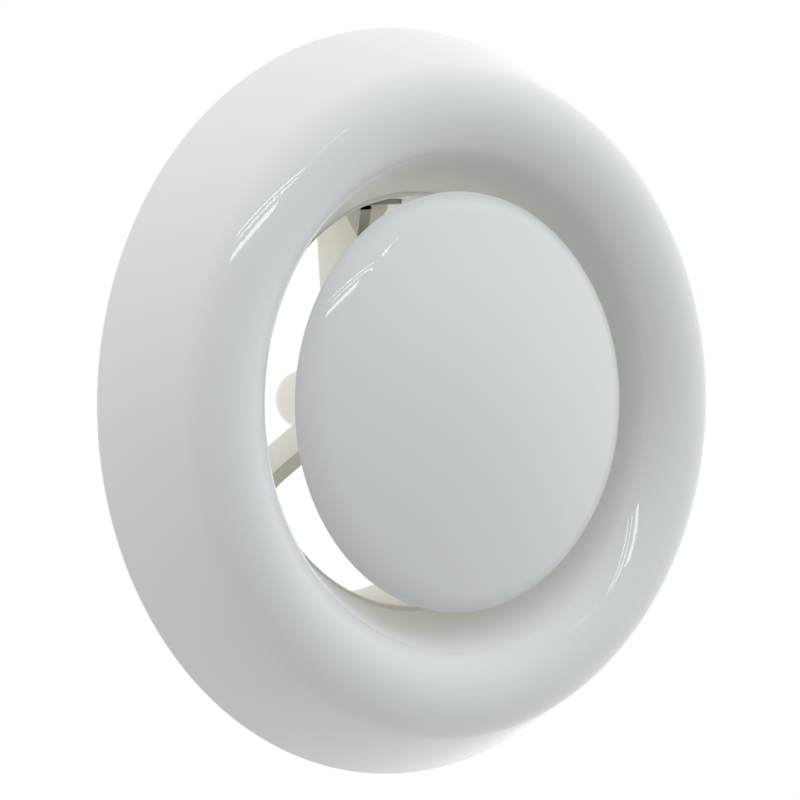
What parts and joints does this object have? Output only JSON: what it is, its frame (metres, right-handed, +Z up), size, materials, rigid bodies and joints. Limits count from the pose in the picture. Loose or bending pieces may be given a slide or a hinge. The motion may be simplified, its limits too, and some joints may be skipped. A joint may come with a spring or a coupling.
{
  "type": "ceiling air diffuser",
  "caption": "Round adjustable ceiling disc valve for a duct: face ring with a rounded lip, domed disc on a threaded spindle, neck with arms and sprung steel clips.",
  "frame": {"origin": "centre of the face ring's rear edge, in the ceiling plane, on the valve's axis", "axes": "+Z up the duct along the valve's axis, the disc facing down into the room; +Y towards the first arm of the bridge"},
  "size_m": [0.148, 0.148, 0.0684],
  "materials": {
    "gloss_white_plastic": "gloss",
    "satin_white_plastic": "satin",
    "gasket_foam": "matte",
    "spring_steel": "brushed",
    "zinc_steel": "bright zinc plate"
  },
  "bodies": {
    "housing": {"face_ring": "gloss_white_plastic", "rim_gasket": "gasket_foam", "neck_sleeve": "satin_white_plastic", "bridge": "satin_white_plastic", "hub_sleeve": "satin_white_plastic", "neck_screw_1": "zinc_steel", "neck_screw_2": "zinc_steel", "neck_screw_3": "zinc_steel", "bridge_screw_1": "zinc_steel", "bridge_screw_2": "zinc_steel", "bridge_screw_3": "zinc_steel"},
    "disc_carrier": {"spindle_washer": "zinc_steel"},
    "disc": {"disc_shell": "gloss_white_plastic", "disc_back_plate": "satin_white_plastic", "spindle": "zinc_steel", "spindle_nut": "zinc_steel"},
    "nut_carrier": {"lock_washer": "zinc_steel"},
    "lock_nut": {"lock_nut": "zinc_steel"},
    "clip_1": {"spring_clip_1": "spring_steel"},
    "clip_2": {"spring_clip_2": "spring_steel"},
    "clip_3": {"spring_clip_3": "spring_steel"}
  },
  "joints": [
    {"name": "disc_travel", "type": "slide", "parent": "housing", "child": "disc_carrier", "axis": [0, 0, -1], "range_m": [-0.0125, 0.00625]},
    {"name": "disc_turn", "type": "hinge", "parent": "disc_carrier", "child": "disc", "pos_m": [0, 0, 0], "axis": [0, 0, -1], "range_deg": [-3600, 1800]},
    {"name": "lock_nut_travel", "type": "slide", "parent": "housing", "child": "nut_carrier", "axis": [0, 0, -1], "range_m": [0, 0.00125]},
    {"name": "lock_nut_turn", "type": "hinge", "parent": "nut_carrier", "child": "lock_nut", "pos_m": [0, 0, 0], "axis": [0, 0, -1], "range_deg": [0, 360]},
    {"name": "clip_1_press", "type": "hinge", "parent": "housing", "child": "clip_1", "pos_m": [0, 0.0466, 0.0223], "axis": [-1, 0, 0], "range_deg": [0, 20], "stiffness_Nm_per_rad": 0.17},
    {"name": "clip_2_press", "type": "hinge", "parent": "housing", "child": "clip_2", "pos_m": [-0.04036, -0.0233, 0.0223], "axis": [0.5, -0.866, 0], "range_deg": [0, 20], "stiffness_Nm_per_rad": 0.17},
    {"name": "clip_3_press", "type": "hinge", "parent": "housing", "child": "clip_3", "pos_m": [0.04036, -0.0233, 0.0223], "axis": [0.5, 0.866, 0], "range_deg": [0, 20], "stiffness_Nm_per_rad": 0.17}
  ],
  "couplings": [
    {"joint": "disc_travel", "follows": "disc_turn", "m_per_rad": 0.00019894},
    {"joint": "lock_nut_travel", "follows": "lock_nut_turn", "m_per_rad": 0.00019894}
  ]
}
